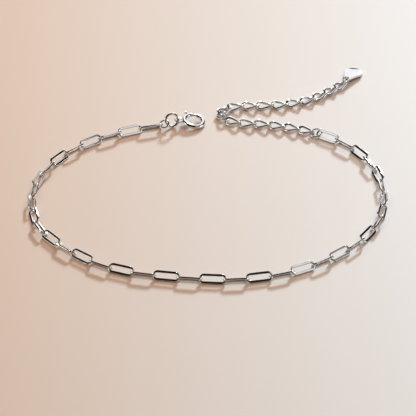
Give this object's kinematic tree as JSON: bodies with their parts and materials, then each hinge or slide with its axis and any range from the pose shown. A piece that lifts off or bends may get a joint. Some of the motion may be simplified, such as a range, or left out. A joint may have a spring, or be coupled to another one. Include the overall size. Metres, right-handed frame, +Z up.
{
  "type": "bracelet",
  "caption": "Fine silver chain bracelet of long round-ended links, with a spring ring clasp and a short curb extension that ends in a plain drop-shaped tag.",
  "frame": {"origin": "on the table, under the middle of the bracelet as it lies", "axes": "+Z up from the table, +Y to the back, where the clasp and the tag lie, +X to the right"},
  "size_m": [0.0696, 0.0792, 0.0029],
  "materials": {
    "silver": "polished"
  },
  "bodies": {
    "bracelet_body": {"link_00": "silver", "link_01": "silver", "link_02": "silver", "link_03": "silver", "link_04": "silver", "link_05": "silver", "link_06": "silver", "link_07": "silver", "link_08": "silver", "link_09": "silver", "link_10": "silver", "link_11": "silver", "link_12": "silver", "link_13": "silver", "link_14": "silver", "link_15": "silver", "link_16": "silver", "link_17": "silver", "link_18": "silver", "link_19": "silver", "link_20": "silver", "link_21": "silver", "link_22": "silver", "link_23": "silver", "link_24": "silver", "link_25": "silver", "link_26": "silver", "link_27": "silver", "link_28": "silver", "link_29": "silver", "link_30": "silver", "link_31": "silver", "link_32": "silver", "link_33": "silver", "link_34": "silver", "link_35": "silver", "link_36": "silver", "link_37": "silver", "small_ring": "silver", "jump_ring": "silver", "spring_ring": "silver", "joining_ring": "silver", "extension_chain": "silver", "tag_ring": "silver", "tag": "silver"},
    "clasp_bolt": {"spring_ring_bolt": "silver"}
  },
  "joints": [
    {"name": "bolt_slide", "type": "hinge", "parent": "bracelet_body", "child": "clasp_bolt", "pos_m": [-0.00287, 0.01807, 0.0008], "axis": [0.1719, -0.103, 0.9797], "range_deg": [0, 34], "stiffness_Nm_per_rad": 0.003, "springref_deg": -17.19}
  ]
}
